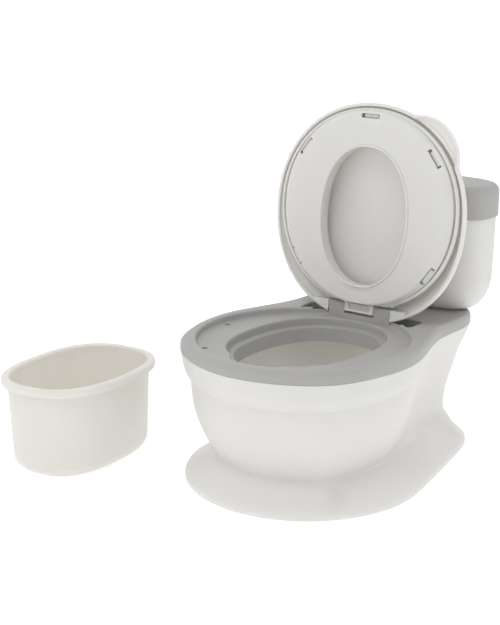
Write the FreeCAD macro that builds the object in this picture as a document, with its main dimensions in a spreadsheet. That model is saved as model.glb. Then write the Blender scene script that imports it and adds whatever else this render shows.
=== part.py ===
import FreeCAD, Part
import Sketcher
import math
import os

# Potty training chair in the form of a small toilet, standing on the floor with its lid and seat
# ring open and its pot taken out beside it.  Millimetres, +Z up, -Y forwards, +X to the right of
# someone who faces its front.  The origin is on the floor, at the centre of the foot.

Vector = FreeCAD.Vector
doc = FreeCAD.newDocument("PottyChair")

# ---------------------------------------------------------------- driving dimensions
SIZES = {
    # hinge line of the lid and the seat ring
    "hinge_y": 61.0, "hinge_z": 176.0, "open_angle": 95.65, "pin_radius": 2.5, "pin_gap": 0.05,
    "pin_inner_x": 6.0, "pin_outer_x": 58.0, "lug_inner_x": 19.0, "lug_outer_x": 44.0,
    "lug_radius": 5.6, "knuckle_radius": 6.0, "side_gap": 0.4,
    # heights of the pedestal and the deck
    "foot_lip": 6.0, "crease_z": 30.0,
    "deck_edge_z": 155.0, "deck_top": 169.0, "deck_round": 9.0, "recess_floor": 161.0,
    "deck_skin": 3.0, "shell_wall": 3.0, "foot_wall": 4.5,
    # recess, opening and funnel of the deck
    "recess_x": 121.0, "recess_y": 123.4, "recess_mid_y": -58.6,
    "opening_x": 79.0, "opening_y": 101.5, "opening_mid_y": -49.3, "opening_power": 2.3,
    "ledge_z": 151.0, "ledge_x": 71.0, "ledge_y": 95.0, "funnel_z": 133.0, "funnel_wall": 2.5,
    "finger_x": 37.0, "finger_y": 33.0, "finger_mid_y": -132.5,
    "trench_x": 82.0, "trench_front_y": 41.0, "trench_back_y": 75.0, "trench_floor": 159.0,
    # deck screws
    "screw_head_radius": 3.3, "screw_radius": 1.5, "screw_length": 17.0,
    "screw_head": 2.4, "screw_seat_z": 149.0, "post_top": 146.0, "post_foot": 129.0,
    "post_radius": 5.0,
    # anti-slip pads under the foot
    "pad_radius": 9.0, "pad_depth": 3.0, "pad_x": 95.0, "pad_front_y": -125.0, "pad_back_y": 128.0,
    # lid
    "lid_x": 132.0, "lid_reach": 116.0, "lid_to_tip": 129.3, "lid_to_tail": 131.8,
    "rim_drop": 6.0, "lid_crown": 19.5, "lid_wall": 2.5,
    "lid_end": 10.5, "ear_radius": 52.0, "ear_x": 68.0, "ear_reach": 183.0, "ear_height": 9.0,
    # seat ring
    "ring_reach": 120.5, "lip_x": 124.5, "lip_y": 119.1, "plate_x": 111.8, "plate_y": 114.6,
    "plate_drop": 13.2, "hole_x": 59.5, "hole_y": 82.6, "hole_reach": 111.4, "hole_drop": 14.6,
    "seat_rise": 5.0, "seat_wall": 2.5, "window_length": 25.0, "window_width": 5.0,
    "hook_length": 16.0,
    # tank and its cap
    "tank_mid_y": 163.0, "tank_x": 115.6, "tank_y": 44.2, "tank_taper": 1.4, "tank_corner_x": 28.4,
    "tank_corner_y": 18.5, "tank_corner_z": 48.0,
    "tank_shoulder": 285.0, "tank_neck": 295.0, "tank_power": 3.0, "tank_wall": 2.5,
    "cap_x": 117.8, "cap_y": 46.0, "cap_top": 324.5, "cap_round": 10.0,
    "spigot_radius": 8.0, "spigot_x": 45.0, "spigot_y": 156.0, "spigot_length": 18.0,
    # pot
    "pot_x": -250.0, "pot_y": -171.2, "pot_yaw": 5.5, "pot_rim_x": 74.2, "pot_rim_y": 100.3,
    "pot_height": 111.9, "pot_roll": 9.3, "pot_wall": 2.5, "pot_power": 2.55,
    "pot_body_x": 67.0, "pot_body_y": 93.5, "pot_floor_x": 63.0, "pot_floor_y": 90.0,
    "pot_corner": 15.0,
}

sheet = doc.addObject("Spreadsheet::Sheet", "Sizes")
for row, (alias, value) in enumerate(SIZES.items(), start=1):
    sheet.set("A%d" % row, alias)
    sheet.set("B%d" % row, str(value))
    sheet.setAlias("B%d" % row, alias)
doc.recompute()


def size(alias):
    """A driving dimension, read back from the sheet."""
    return float(getattr(sheet, alias))


# ---------------------------------------------------------------- outlines
SAMPLES = 28
OVAL_SAMPLES = 16

# Right half of the deck seen from above, from the middle of the front to the middle of the back:
# a near-round bowl front, a drawn-in waist, and a straight-sided shelf for the tank.
DECK_HALF = [(0, -197.4), (60, -183.8), (104, -153), (129, -98), (136, -42), (124, 11),
             (110, 55), (105.5, 95), (105, 133), (90, 168), (54, 186), (0, 190)]

# The same half of the foot, where it meets the floor.
FOOT_HALF = [(0, -194.7), (47, -186.5), (88, -163.4), (118, -129), (136, -89), (141, -45),
             (134.5, 0), (126, 48), (115, 103), (106, 139), (87, 170), (48, 191), (0, 195.7)]


def closed_curve(points, z):
    """A smooth closed edge through points at height z."""
    curve = Part.BSplineCurve()
    curve.interpolate([Vector(x, y, z) for x, y in points], PeriodicFlag=True)
    return curve.toShape()


def mirrored(half):
    """A whole outline from its right half, anticlockwise from the front."""
    return half + [(-x, y) for x, y in reversed(half[1:-1])]


def sampled(half):
    """SAMPLES evenly spaced points around a mirrored outline."""
    edge = closed_curve(mirrored(half), 0)
    return [(p.x, p.y) for p in edge.discretize(SAMPLES + 1)[:-1]]


def shrunk(points, distances):
    """Points moved inwards, square to the outline, each by its own distance."""
    moved = []
    for i, (x, y) in enumerate(points):
        before = points[i - 1]
        after = points[(i + 1) % len(points)]
        along = Vector(after[0] - before[0], after[1] - before[1], 0).normalize()
        moved.append((x - along.y * distances[i], y + along.x * distances[i]))
    return moved


def shrunk_evenly(points, distance):
    return shrunk(points, [distance] * len(points))


def oval(half_x, half_y, power, mid_x=0.0, mid_y=0.0):
    """Points around a superellipse, anticlockwise from its -Y end."""
    points = []
    for i in range(OVAL_SAMPLES):
        turn = 2 * math.pi * i / OVAL_SAMPLES - math.pi / 2
        c = math.cos(turn)
        s = math.sin(turn)
        points.append((mid_x + half_x * math.copysign(abs(c) ** (2 / power), c),
                       mid_y + half_y * math.copysign(abs(s) ** (2 / power), s)))
    return points


# ---------------------------------------------------------------- solids
def sides(levels):
    """The smooth wall through closed outlines, given as (points, z), lowest first."""
    wires = [Part.Wire([closed_curve(points, z)]) for points, z in levels]
    return Part.makeLoft(wires, False, False).Faces


def stack(stretches):
    """A closed solid of smooth stretches of wall, each starting on the outline that ends the last."""
    faces = []
    for levels in stretches:
        faces += sides(levels)
    for points, z in (stretches[0][0], stretches[-1][-1]):
        faces.append(Part.Face(Part.Wire([closed_curve(points, z)])))
    shell = Part.Shell(faces)
    shell.sewShape()
    solid = Part.Solid(shell)
    if solid.Volume < 0:
        solid.reverse()
    return solid


def slab(points, low, high):
    """An upright prism over an outline."""
    face = Part.Face(Part.Wire([closed_curve(points, low)]))
    return face.extrude(Vector(0, 0, high - low))


def ovals(stretches, power, mid_y=0.0):
    """A solid of ovals, each stretch a list of (half_x, half_y, z)."""
    return stack([[(oval(half_x, half_y, power, 0, mid_y), z) for half_x, half_y, z in sections]
                  for sections in stretches])


def box(x_low, x_high, y_low, y_high, z_low, z_high):
    corner = Vector(x_low, y_low, z_low)
    return Part.makeBox(x_high - x_low, y_high - y_low, z_high - z_low, corner)


def upright(radius, x, y, z_low, z_high):
    return Part.makeCylinder(radius, z_high - z_low, Vector(x, y, z_low))


def crosswise(radius, x_low, x_high, y=0.0, z=0.0):
    """A cylinder lying along X."""
    return Part.makeCylinder(radius, x_high - x_low, Vector(x_low, y, z), Vector(1, 0, 0))


def tidied(shape):
    """The shape with its split faces merged, where that leaves it sound."""
    try:
        merged = shape.copy().removeSplitter()
    except Part.OCCError:
        return shape
    return merged if merged.isValid() else shape


def add_feature(label, shape, placement=FreeCAD.Placement()):
    """A sub-part whose shape is free-form."""
    feature = doc.addObject("Part::Feature", label)
    feature.Label = label
    feature.Shape = shape
    feature.Placement = placement
    return feature


# ---------------------------------------------------------------- pedestal shell
# How far the wall stands inside the deck outline at each height: at the front, where the bowl
# bulges over a crease, and at the back, where the wall runs in one hollow sweep.
BELLY = [(30, 41.5, 21.0), (39, 35.8, 27.3), (50, 29.0, 29.1), (63, 23.0, 28.0), (80, 16.8, 24.8),
         (100, 12.8, 19.0), (121, 11.4, 13.5)]
BAND = [(125.5, 8.2, 11.6), (131, 5.4, 9.2), (138, 3.3, 6.2), (146, 1.9, 2.8), (154.6, 1.0, 0.6)]

# Height and share of the way from the foot's edge to the crease, up the hollow of the foot.
FOOT = [(6, 0.0), (8, 0.07), (11, 0.23), (15.5, 0.47), (22.5, 0.77), (30, 1.0)]

BACK_STARTS_Y = -20.0
BACK_FULL_Y = 75.0


def back_share(y):
    """0 on the round front of the pedestal, 1 on its back, smooth between."""
    share = min(1.0, max(0.0, (y - BACK_STARTS_Y) / (BACK_FULL_Y - BACK_STARTS_Y)))
    return share * share * (3 - 2 * share)


def wall_outline(front_inset, back_inset):
    deck = sampled(DECK_HALF)
    insets = [front_inset + (back_inset - front_inset) * back_share(y) for _, y in deck]
    return shrunk(deck, insets)


def foot_outline(share):
    """Between the foot's edge (share 0) and the crease (share 1)."""
    crease = wall_outline(BELLY[0][1], BELLY[0][2])
    edge = sampled(FOOT_HALF)
    return [(a[0] + (b[0] - a[0]) * share, a[1] + (b[1] - a[1]) * share)
            for a, b in zip(edge, crease)]


def pedestal(foot_wall, wall, bottom):
    """The pedestal's outer form, or the hollow inside it where walls are given."""
    lip = shrunk_evenly(foot_outline(0.0), foot_wall)
    rise = size("crease_z") - size("foot_lip")
    foot = []
    for z, share in FOOT:
        thickness = foot_wall + (wall - foot_wall) * (z - size("foot_lip")) / rise
        foot.append((shrunk_evenly(foot_outline(share), thickness), z))
    belly = [(shrunk_evenly(wall_outline(front, back), wall), z) for z, front, back in BELLY]
    belly[0] = foot[-1]
    band = [(shrunk_evenly(wall_outline(front, back), wall), z) for z, front, back in BAND]
    return stack([[(lip, bottom), foot[0]], foot, belly, [belly[-1], band[0]], band])


# Each deck screw's place, and the way its post's web runs to the wall, from straight ahead: two
# pairs in the recess beside the opening and one pair under the tank.
SCREWS = [(side * x, y, side * web) for side in (1, -1)
          for x, y, web in ((73.6, -146.3, 40), (114.4, -54.6, 92), (70.0, 150.0, 90))]


def pad_places():
    return {"foot_pad_front_right": (size("pad_x"), size("pad_front_y")),
            "foot_pad_front_left": (-size("pad_x"), size("pad_front_y")),
            "foot_pad_back_right": (size("pad_x") - 8, size("pad_back_y")),
            "foot_pad_back_left": (-size("pad_x") + 8, size("pad_back_y"))}


def body_shell():
    stays = []
    for x, y, web in SCREWS:
        stays.append(upright(size("post_radius"), x, y, size("post_foot"), size("post_top")))
        rib = box(-1.5, 1.5, -60.0, 0.0, size("post_foot"), size("post_top") - 2)
        rib.rotate(Vector(0, 0, 0), Vector(0, 0, 1), web)
        rib.translate(Vector(x, y, 0))
        stays.append(rib)
    for x, y in pad_places().values():
        stays.append(upright(size("pad_radius") + 2.5, x, y, 0, size("crease_z")))
    hollow = pedestal(size("foot_wall"), size("shell_wall"), -1.0)
    hollow = hollow.cut(stays[0].multiFuse(stays[1:]))
    shell = pedestal(0.0, 0.0, 0.0).cut(hollow)
    holes = [upright(size("pad_radius"), x, y, -1, size("pad_depth"))
             for x, y in pad_places().values()]
    low = size("screw_seat_z") - size("screw_length") - 1
    for x, y, _ in SCREWS:
        holes.append(upright(size("screw_radius"), x, y, low, size("post_top") + 1))
    return shell.cut(holes)


# ---------------------------------------------------------------- deck
def rounded_plan(x, y_low, y_high, corner, z_low, z_high):
    """A block symmetric about X = 0 with rounded upright corners."""
    block = box(-x, x, y_low, y_high, z_low, z_high)
    upright_edges = [e for e in block.Edges if abs(e.tangentAt(e.FirstParameter).z) > 0.9]
    return block.makeFillet(corner, upright_edges)


def deck_opening(grow, low, high):
    return slab(oval(size("opening_x") + grow, size("opening_y") + grow, size("opening_power"),
                     0, size("opening_mid_y")), low, high)


def deck_throat(grow, low, high):
    return slab(oval(size("ledge_x") + grow, size("ledge_y") + grow, size("opening_power"),
                     0, size("opening_mid_y")), low, high)


def finger_notch(grow, low, high):
    """The bay in front of the opening where fingers reach under the pot's rim."""
    return slab(oval(size("finger_x") + grow, size("finger_y") + grow, 2.0,
                     0, size("finger_mid_y")), low, high)


def deck_recess(grow, low, high):
    return slab(oval(size("recess_x") + grow, size("recess_y") + grow, 2.0,
                     0, size("recess_mid_y")), low, high)


def trench(grow, low, high):
    return rounded_plan(size("trench_x") + grow, size("trench_front_y") - grow,
                        size("trench_back_y") + grow, 8.0 + grow, low, high)


def lug(side):
    """One of the two upright blocks that hold the hinge pins."""
    low = min(side * size("lug_inner_x"), side * size("lug_outer_x"))
    high = max(side * size("lug_inner_x"), side * size("lug_outer_x"))
    y = size("hinge_y")
    head = crosswise(size("lug_radius"), low, high, y, size("hinge_z"))
    stem = box(low, high, y - size("lug_radius"), y + size("lug_radius"),
               size("trench_floor") - 1, size("hinge_z"))
    return head.fuse(stem)


def deck():
    plan = sampled(DECK_HALF)
    edge_z = size("deck_edge_z")
    top = size("deck_top")
    skin = size("deck_skin")
    floor = size("recess_floor")
    block = slab(plan, edge_z, top)
    rim = [e for e in block.Edges if e.BoundBox.ZMin > top - 0.1]
    outer = block.makeFillet(size("deck_round"), rim)

    hollow = slab(shrunk_evenly(plan, skin), edge_z - 1, top - skin)
    hollow = hollow.cut(deck_recess(skin, floor - skin, top))
    hollow = hollow.cut(trench(skin, size("trench_floor") - skin, top))
    lip = slab(shrunk_evenly(plan, 6.0), edge_z - 5, top - skin + 0.5)
    lip = lip.cut(slab(shrunk_evenly(plan, 8.0), edge_z - 6, top))
    wall = size("funnel_wall")
    collar = deck_opening(wall, size("ledge_z") - wall, floor)
    collar = collar.fuse(finger_notch(wall, size("ledge_z") - wall, floor))
    funnel = deck_throat(wall, size("funnel_z"), size("ledge_z"))

    pieces = [outer.cut(hollow), lip, collar, funnel, lug(1), lug(-1)]
    for x, y, _ in SCREWS:
        pieces.append(upright(6.5, x, y, size("post_top"), top - 1))
    for side in (1, -1):
        pieces.append(upright(size("spigot_radius") + 3, side * size("spigot_x"),
                              size("spigot_y"), edge_z, top - skin))
    solid = pieces[0].multiFuse(pieces[1:])

    holes = [deck_recess(0, floor, top + 1).cut(lug_keepout()),
             trench(0, size("trench_floor"), top + 1).cut(lug_keepout()),
             deck_opening(0, size("ledge_z"), top + 1),
             finger_notch(0, size("ledge_z"), top + 1),
             deck_throat(0, size("funnel_z") - 1, top)]
    for x, y, _ in SCREWS:
        holes.append(upright(size("screw_head_radius") + 0.3, x, y, size("screw_seat_z"), top))
        holes.append(upright(size("screw_radius") + 0.3, x, y, size("post_top") - 1, top))
    for side in (1, -1):
        holes.append(upright(size("spigot_radius") + 0.3, side * size("spigot_x"),
                             size("spigot_y"), edge_z - 1, top + 1))
        low = min(side * size("lug_inner_x"), side * size("lug_outer_x")) - 1
        high = max(side * size("lug_inner_x"), side * size("lug_outer_x")) + 1
        holes.append(crosswise(size("pin_radius"), low, high, size("hinge_y"), size("hinge_z")))
    return tidied(solid.cut(holes))


def lug_keepout():
    """The space of both lugs, which the recess and the trench leave standing."""
    return lug(1).fuse(lug(-1))


# ---------------------------------------------------------------- lid
# The lid and the seat ring are modelled shut, in a frame on the hinge line with -Y forwards, and
# their placements swing them open.
# Share of the rim's outline and depth below the crown, up the dished cover of the lid.
DISH = [(0.975, 15.5), (0.9, 9.5), (0.72, 4.0), (0.45, 1.1), (0.2, 0.2)]


def lid_outline(inset):
    """The lid's egg shape seen square on: its tip half is blunter than its hinge half."""
    points = []
    for i in range(SAMPLES):
        turn = 2 * math.pi * i / SAMPLES - math.pi / 2
        c = math.cos(turn)
        s = math.sin(turn)
        length, power = ((size("lid_to_tip"), 2.08) if s < 0 else (size("lid_to_tail"), 2.2))
        points.append(((size("lid_x") - inset) * math.copysign(abs(c) ** (2 / power), c),
                       (length - inset) * math.copysign(abs(s) ** (2 / power), s)))
    return points


def dome(inset, crown, rim_z):
    """A dished cover over the lid's outline, standing at its middle."""
    edge = lid_outline(inset)
    dish = [(edge, rim_z + 2.5)]
    for share, depth in DISH:
        dish.append(([(x * share, y * share) for x, y in edge], crown - depth))
    cover = stack([[(edge, rim_z), (edge, rim_z + 2.5)], dish])
    cover.translate(Vector(0, -size("lid_reach"), 0))
    return cover


def lid():
    rim = -size("rim_drop")
    wall = size("lid_wall")
    full = dome(0.0, size("lid_crown"), rim)
    bowl = dome(wall, size("lid_crown") - wall, rim - 1)
    outline = slab(lid_outline(0.0), rim - 2, rim + 20)
    outline.translate(Vector(0, -size("lid_reach"), 0))

    ear = upright(size("ear_radius"), size("ear_x"), -size("ear_reach"), rim,
                  rim + size("ear_height"))
    ear = ear.makeFillet(4.0, [e for e in ear.Edges if e.BoundBox.ZMin > rim + 1])
    ear_hollow = upright(size("ear_radius") - wall, size("ear_x"), -size("ear_reach"), rim - 1,
                         rim + size("ear_height") - wall)
    ear = ear.cut(ear_hollow.cut(outline))
    cover = full.fuse(ear).cut(bowl)

    # the notch that clears the lugs, with a cheek and a knuckle on each side of it
    notch_x = size("lug_outer_x") + size("side_gap")
    notch_y = -size("knuckle_radius") - 2
    notch = box(-notch_x, notch_x, notch_y, 60, -40, 60)
    cheeks = []
    for side in (1, -1):
        inner = side * notch_x
        cheek_low = min(inner, inner + side * wall)
        cheek = box(cheek_low, cheek_low + wall, notch_y + 0.8, size("lid_end"), rim,
                    size("lid_crown"))
        cheeks.append(cheek)
        low = min(inner, inner + side * 15.0)
        cheeks.append(crosswise(size("knuckle_radius"), low, low + 15.0))
        cheeks.append(box(low, low + 15.0, -size("knuckle_radius"), size("knuckle_radius"),
                          0, size("lid_crown")))
    back = box(-notch_x - 1, notch_x + 1, notch_y - wall, notch_y, size("seat_rise") + 1.5,
               size("lid_crown"))
    cheeks.append(back)
    ribs = cheeks[0].multiFuse(cheeks[1:]).common(full)
    cover = cover.cut(notch).fuse(ribs)
    cover = cover.cut(box(-200, 200, size("lid_end"), 80, -40, 60))
    bore = size("pin_radius") + size("pin_gap")
    cover = cover.cut(crosswise(bore, -90, 90))
    return tidied(cover)


# ---------------------------------------------------------------- seat ring
RING_POWER = 2.06
HOLE_POWER = 2.15

# Middle of each snap window, as its distance from the middle line and from the hinge, and the way
# its long side runs, from crosswise.
WINDOWS = [(0.0, 230.2, 0), (89.4, 188.0, 52), (-89.4, 188.0, -52), (92.4, 53.0, -54),
           (-92.4, 53.0, 54)]


def ring_ovals(sections):
    return ovals(sections, RING_POWER, -size("ring_reach"))


def seat_hole(grow, low, high):
    return slab(oval(size("hole_x") + grow, size("hole_y") + grow, HOLE_POWER, 0,
                     -size("hole_reach")), low, high)


def lug_notches():
    """The space that the seat ring leaves for the lugs and the lid's knuckles."""
    inner = size("lug_inner_x") - size("side_gap")
    return [box(inner, 90, -size("knuckle_radius") - 1.8, 60, -40, 40),
            box(-90, -inner, -size("knuckle_radius") - 1.8, 60, -40, 40)]


def window_block(x, reach, turn, long_side, short_side, low, high):
    block = box(-long_side / 2, long_side / 2, -short_side / 2, short_side / 2, low, high)
    block.rotate(Vector(0, 0, 0), Vector(0, 0, 1), turn)
    block.translate(Vector(x, -reach, 0))
    return block


def seat_top():
    lip_x = size("lip_x")
    lip_y = size("lip_y")
    rise = size("seat_rise")
    rim = -size("rim_drop")
    outer = ring_ovals([[(lip_x - 5.9, lip_y - 1.9, rim - 2.7),
                         (lip_x - 3.9, lip_y - 1.3, rim - 0.8)],
                        [(lip_x - 3.9, lip_y - 1.3, rim - 0.8), (lip_x, lip_y, rim)],
                        [(lip_x, lip_y, rim), (lip_x - 0.2, lip_y - 0.2, rim + 1.5),
                         (lip_x - 2.4, lip_y - 2.4, rim + 5.5), (lip_x - 8, lip_y - 8, rise - 2.2),
                         (lip_x - 18, lip_y - 18, rise - 0.3), (lip_x - 26, lip_y - 26, rise)]])
    wall = size("seat_wall")
    hollow = ring_ovals([[(lip_x - 7.2, lip_y - 3.1, rim - 4), (lip_x - 7.2, lip_y - 3.1, rim)],
                         [(lip_x - 7.2, lip_y - 3.1, rim), (lip_x - 7.6, lip_y - 5.6, rise - 7.5),
                          (lip_x - 12, lip_y - 12, rise - wall - 1.4),
                          (lip_x - 27, lip_y - 27, rise - wall)]])
    inner = size("lug_inner_x") - size("side_gap")
    tab = box(-inner, inner, -20, 0, rim, rise)
    stays = [seat_hole(wall, -30, 30), tab]
    for x, reach, turn in WINDOWS:
        stays.append(window_block(x, reach, turn, size("hook_length"), 2.0, rim, rise))
    shell = outer.cut(hollow.cut(stays))
    shell = shell.cut(lug_notches())
    tube = seat_hole(wall, -size("hole_drop"), -size("rim_drop") - 2)
    hooks = [window_block(x, reach, turn, size("hook_length"), 2.0,
                          -size("plate_drop") + 0.8, rim + 0.5) for x, reach, turn in WINDOWS]
    knuckle = [box(-inner, inner, -7, 5.5, rim, 0), crosswise(size("lug_radius"), -inner, inner)]
    shell = shell.multiFuse([tube] + hooks + knuckle)
    bore = size("pin_radius") + size("pin_gap")
    holes = [seat_hole(0, -30, 30),
             crosswise(bore, -inner - 1, -size("pin_inner_x") + 1),
             crosswise(bore, size("pin_inner_x") - 1, inner + 1)]
    return tidied(shell.cut(holes))


def seat_base():
    plate_x = size("plate_x")
    plate_y = size("plate_y")
    drop = -size("plate_drop")
    wall = size("seat_wall")
    groove_z = -size("rim_drop") - 2.7
    shoulder_x = size("lip_x") - 7.3
    shoulder_y = size("lip_y") - 3.2
    outer = ring_ovals([[(plate_x - 3.3, plate_y - 3.1, drop),
                         (plate_x - 1, plate_y - 0.8, drop + 0.8), (plate_x, plate_y, drop + 2.7)],
                        [(plate_x, plate_y, drop + 2.7), (shoulder_x, shoulder_y, groove_z)],
                        [(shoulder_x, shoulder_y, groove_z),
                         (shoulder_x, shoulder_y, groove_z + wall)]])
    hollow = ring_ovals([[(plate_x - 4.5, plate_y - 4.5, drop + wall),
                          (plate_x - 3.2, plate_y - 3.2, groove_z + wall + 1)]])
    inner = size("lug_inner_x") - size("side_gap")
    holes = [hollow, seat_hole(wall + 0.1, -30, 30)] + lug_notches()
    holes.append(box(-inner, inner, -20.2, 60, -size("rim_drop") - 0.2, 40))
    holes.append(box(-inner, inner, -7.2, 60, -40, 40))
    for x, reach, turn in WINDOWS:
        holes.append(window_block(x, reach, turn, size("window_length"), size("window_width"),
                                  -30, 10))
    return outer.cut(holes)


# ---------------------------------------------------------------- tank and cap
def tank_ovals(sections):
    return ovals(sections, size("tank_power"), size("tank_mid_y"))


def rounded_foot(half_x, half_y, corner_x, corner_y, corner_z, floor):
    """Oval sections up a rounded lower edge, from its flat underside to its widest."""
    sections = []
    for degrees in (0, 22.5, 45, 67.5, 90):
        turn = math.radians(degrees)
        inset = 1 - math.sin(turn)
        sections.append((half_x - corner_x * inset, half_y - corner_y * inset,
                         floor + corner_z * (1 - math.cos(turn))))
    return sections


def tank_form(thickness):
    """The tank's outer form, or its hollow: a rounded foot under gently tapering walls."""
    waist_x = size("tank_x") - size("tank_taper") - thickness
    waist_y = size("tank_y") - size("tank_taper") / 2 - thickness
    foot = rounded_foot(waist_x, waist_y, size("tank_corner_x"), size("tank_corner_y"),
                        size("tank_corner_z") - thickness, size("deck_top") + thickness)
    shoulder = (size("tank_x") - thickness, size("tank_y") - thickness, size("tank_shoulder"))
    return tank_ovals([foot, [foot[-1], shoulder]])


def tank_shell():
    wall = size("tank_wall")
    shoulder = size("tank_shoulder")
    neck_x = size("cap_x") - wall - 0.4
    neck_y = size("cap_y") - wall - 0.4
    outer = tank_form(0.0)
    neck = tank_ovals([[(neck_x, neck_y, shoulder - 0.5), (neck_x, neck_y, size("tank_neck"))]])
    hollow = tank_form(wall)
    mouth = tank_ovals([[(neck_x - 2, neck_y - 2, shoulder - 6), (neck_x - 2, neck_y - 2, 300)]])
    shell = outer.fuse(neck).cut(hollow).cut(mouth)
    for side in (1, -1):
        shell = shell.fuse(upright(size("spigot_radius"), side * size("spigot_x"),
                                   size("spigot_y"), size("deck_top") - size("spigot_length"),
                                   size("deck_top") + 1))
    return tidied(shell)


def tank_cap():
    wall = size("tank_wall")
    x = size("cap_x")
    y = size("cap_y")
    top = size("cap_top")
    low = size("tank_shoulder") + 0.3
    block = slab(oval(x, y, size("tank_power"), 0, size("tank_mid_y")), low, top)
    rim = [e for e in block.Edges if e.BoundBox.ZMin > top - 0.1]
    outer = block.makeFillet(size("cap_round"), rim)
    pocket = slab(oval(x - wall, y - wall, size("tank_power"), 0, size("tank_mid_y")),
                  low - 1, size("tank_neck") + 0.1)
    upper = slab(oval(x - 5.5, y - 5.5, size("tank_power"), 0, size("tank_mid_y")),
                 low - 1, top - wall)
    return outer.cut([pocket, upper])


# ---------------------------------------------------------------- pot
def pot_ovals(sections):
    return ovals(sections, size("pot_power"))


def pot_form(thickness):
    """The pot's outer form, or its hollow: a rounded foot under gently tapering walls."""
    corner = size("pot_corner") - thickness
    foot = rounded_foot(size("pot_floor_x") - thickness, size("pot_floor_y") - thickness,
                        corner, corner, corner, thickness)
    under_rim = (size("pot_body_x") - thickness, size("pot_body_y") - thickness,
                 size("pot_height") - size("pot_roll"))
    return pot_ovals([foot, [foot[-1], under_rim]])


def pot():
    wall = size("pot_wall")
    top = size("pot_height")
    roll = size("pot_roll")
    low = top - roll
    rim_x = size("pot_rim_x")
    rim_y = size("pot_rim_y")
    rim = slab(oval(rim_x, rim_y, size("pot_power")), low, top)
    top_edge = [e for e in rim.Edges if e.BoundBox.ZMin > top - 0.1]
    rim = rim.makeFillet(4.0, top_edge)
    groove = slab(oval(rim_x - wall, rim_y - wall, size("pot_power")), low - 1, top - wall - 1.5)
    body = size("pot_body_x")
    groove = groove.cut(slab(oval(body, size("pot_body_y"), size("pot_power")), low - 2, top))
    tub = pot_form(0.0)
    hollow = pot_form(wall)
    mouth = slab(oval(body - wall, size("pot_body_y") - wall, size("pot_power")), low, top + 1)
    return tidied(rim.cut(groove).fuse(tub).cut(hollow).cut(mouth))


# ---------------------------------------------------------------- pieces made from primitives
def origin_plane(body, role):
    return [f for f in body.Origin.OriginFeatures if f.Role == role][0]


def add_disc_body(label, radius, length, plane, placement, edge):
    """A PartDesign body: a circle padded to a cylinder, its far edge broken by a chamfer."""
    body = doc.addObject("PartDesign::Body", label)
    body.Label = label
    sketch = body.newObject("Sketcher::SketchObject", label + "_sketch")
    sketch.AttachmentSupport = [(origin_plane(body, plane), "")]
    sketch.MapMode = "FlatFace"
    sketch.addGeometry(Part.Circle(Vector(0, 0, 0), Vector(0, 0, 1), size(radius)), False)
    sketch.addConstraint(Sketcher.Constraint("Coincident", 0, 3, -1, 1))
    index = sketch.addConstraint(Sketcher.Constraint("Radius", 0, size(radius)))
    sketch.setExpression("Constraints[%d]" % index, "Sizes." + radius)
    pad = body.newObject("PartDesign::Pad", label + "_pad")
    pad.Profile = sketch
    pad.setExpression("Length", length)
    doc.recompute()
    top = [i for i, e in enumerate(pad.Shape.Edges, start=1) if e.Closed][0]
    chamfer = body.newObject("PartDesign::Chamfer", label + "_chamfer")
    chamfer.Base = (pad, ["Edge%d" % top])
    chamfer.Size = edge
    body.Placement = placement
    return body


def add_screws():
    """Six round-headed screws, as one group of separate solids."""
    screws = []
    for number, (x, y, _) in enumerate(SCREWS, start=1):
        shank = doc.addObject("Part::Cylinder", "ScrewShank%d" % number)
        shank.setExpression("Radius", "Sizes.screw_radius")
        shank.setExpression("Height", "Sizes.screw_length")
        shank.Placement.Base = Vector(x, y, size("screw_seat_z") - size("screw_length"))
        head = doc.addObject("Part::Cone", "ScrewHead%d" % number)
        head.setExpression("Radius1", "Sizes.screw_head_radius")
        head.setExpression("Radius2", "Sizes.screw_head_radius * 0.55")
        head.setExpression("Height", "Sizes.screw_head")
        head.Placement.Base = Vector(x, y, size("screw_seat_z"))
        screw = doc.addObject("Part::MultiFuse", "Screw%d" % number)
        screw.Shapes = [shank, head]
        screws.append(screw)
    group = doc.addObject("Part::Compound", "deck_screws")
    group.Label = "deck_screws"
    group.Links = screws
    return group


# ---------------------------------------------------------------- assembly
hinge = Vector(0, size("hinge_y"), size("hinge_z"))
opened = FreeCAD.Placement(hinge, FreeCAD.Rotation(Vector(1, 0, 0), -size("open_angle")))
beside = FreeCAD.Placement(Vector(size("pot_x"), size("pot_y"), 0),
                           FreeCAD.Rotation(Vector(0, 0, 1), size("pot_yaw")))

nodes = [
    add_feature("body_shell", body_shell()),
    add_feature("deck", deck()),
    add_screws(),
    add_feature("tank_shell", tank_shell()),
    add_feature("tank_cap", tank_cap()),
    add_feature("lid", lid(), opened),
    add_feature("seat_top", seat_top(), opened),
    add_feature("seat_base", seat_base(), opened),
    add_feature("pot", pot(), beside),
]

for name, (x, y) in pad_places().items():
    nodes.append(add_disc_body(name, "pad_radius", "Sizes.pad_depth", "XY_Plane",
                               FreeCAD.Placement(Vector(x, y, 0), FreeCAD.Rotation()), 0.6))
for name, low in (("hinge_pin_right", size("pin_inner_x")), ("hinge_pin_left", -size("pin_outer_x"))):
    nodes.append(add_disc_body(name, "pin_radius", "Sizes.pin_outer_x - Sizes.pin_inner_x",
                               "YZ_Plane", FreeCAD.Placement(hinge + Vector(low, 0, 0),
                                                             FreeCAD.Rotation()), 0.5))

doc.recompute()
for thing in doc.Objects:
    if "Invalid" in thing.State or "Error" in thing.State:
        raise RuntimeError("%s did not compute: %s" % (thing.Label, thing.State))
for node in nodes:
    if node.Shape.isNull() or not node.Shape.isValid():
        raise RuntimeError("%s has no valid shape" % node.Label)

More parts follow.
